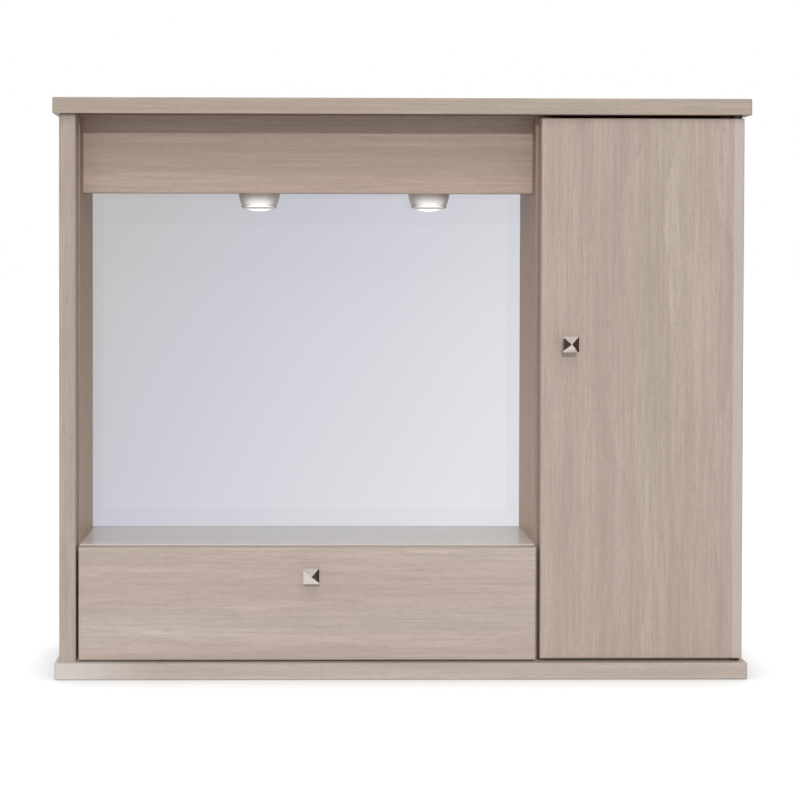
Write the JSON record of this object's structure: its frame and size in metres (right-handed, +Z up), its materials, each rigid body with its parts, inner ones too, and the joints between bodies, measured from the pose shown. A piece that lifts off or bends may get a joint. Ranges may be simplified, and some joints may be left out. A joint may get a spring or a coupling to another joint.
{
  "type": "bathroom mirror cabinet",
  "caption": "Wall-hung bathroom cabinet with a lit mirror bay over a drop-down flap and a tall swinging door beside it, in wood-grain board with square pyramid knobs.",
  "frame": {"origin": "on the wall plane, at the middle of the width and the height of the bottom board's underside", "axes": "+X to the right as seen from the room, +Y into the wall, +Z up; the fronts face -Y"},
  "size_m": [0.77, 0.176, 0.641],
  "materials": {
    "carcass_board": "grey-beige elm grain, satin",
    "back_board": "pale hardboard, matt",
    "front_board": "grey-beige elm grain, satin",
    "mirror": "silvered glass",
    "knob_metal": "polished, slightly soft",
    "lamp_shade": "pale, faintly translucent",
    "lamp_lens": "frosted",
    "steel": "nickel-plated",
    "white_plastic": "moulded",
    "black_plastic": "moulded",
    "clear_rubber": "clear, soft",
    "dowel_wood": "raw beech"
  },
  "bodies": {
    "cabinet": {"top_board": "carcass_board", "bottom_board": "carcass_board", "left_front_stile": "carcass_board", "left_side_panel": "carcass_board", "divider": "carcass_board", "right_side_panel": "carcass_board", "bay_shelf": "carcass_board", "light_shelf": "carcass_board", "fascia": "carcass_board", "cupboard_shelf_lower": "carcass_board", "cupboard_shelf_upper": "carcass_board", "bay_back_panel": "back_board", "cupboard_hanging_rail": "back_board", "cupboard_back_panel": "back_board", "mirror_glass": "mirror", "spot_housing_left": "lamp_shade", "spot_ring_left": "knob_metal", "spot_lens_left": "lamp_lens", "lamp_lead_left": "black_plastic", "spot_housing_right": "lamp_shade", "spot_ring_right": "knob_metal", "spot_lens_right": "lamp_lens", "lamp_lead_right": "black_plastic", "lamp_driver": "white_plastic", "cable_grommet": "black_plastic", "shelf_pins": "steel", "cam_locks": "steel", "cam_bolts": "steel", "dowels": "dowel_wood", "back_panel_screws": "steel", "hanger_plate_left": "steel", "hanger_plate_right": "steel", "hanger_screws": "steel", "door_pivot_pin_lower": "steel", "door_pivot_pin_upper": "steel", "flap_hinge_arm_left": "steel", "flap_hinge_arm_right": "steel", "flap_arm_screws": "steel", "catch_screws": "steel", "door_magnet_catch": "white_plastic", "flap_magnet_catch": "white_plastic"},
    "door": {"door": "front_board", "door_knob": "knob_metal", "door_knob_screw": "steel", "door_bush_lower": "white_plastic", "door_bush_upper": "white_plastic", "door_strike_plate": "steel", "door_strike_screw": "steel", "door_bumpers": "clear_rubber"},
    "flap": {"flap": "front_board", "flap_knob": "knob_metal", "flap_knob_screw": "steel", "flap_hinge_cup_left": "steel", "flap_hinge_cup_right": "steel", "flap_hinge_pins": "steel", "flap_cup_screws": "steel", "flap_strike_plate": "steel", "flap_strike_screw": "steel", "flap_bumpers": "clear_rubber"}
  },
  "joints": [
    {"name": "door_swing", "type": "hinge", "parent": "cabinet", "child": "door", "pos_m": [0.372, -0.144, 0.021], "axis": [0, 0, 1], "range_deg": [0, 110]},
    {"name": "flap_drop", "type": "hinge", "parent": "cabinet", "child": "flap", "pos_m": [0, -0.144, 0.04349], "axis": [1, 0, 0], "range_deg": [0, 90]}
  ]
}
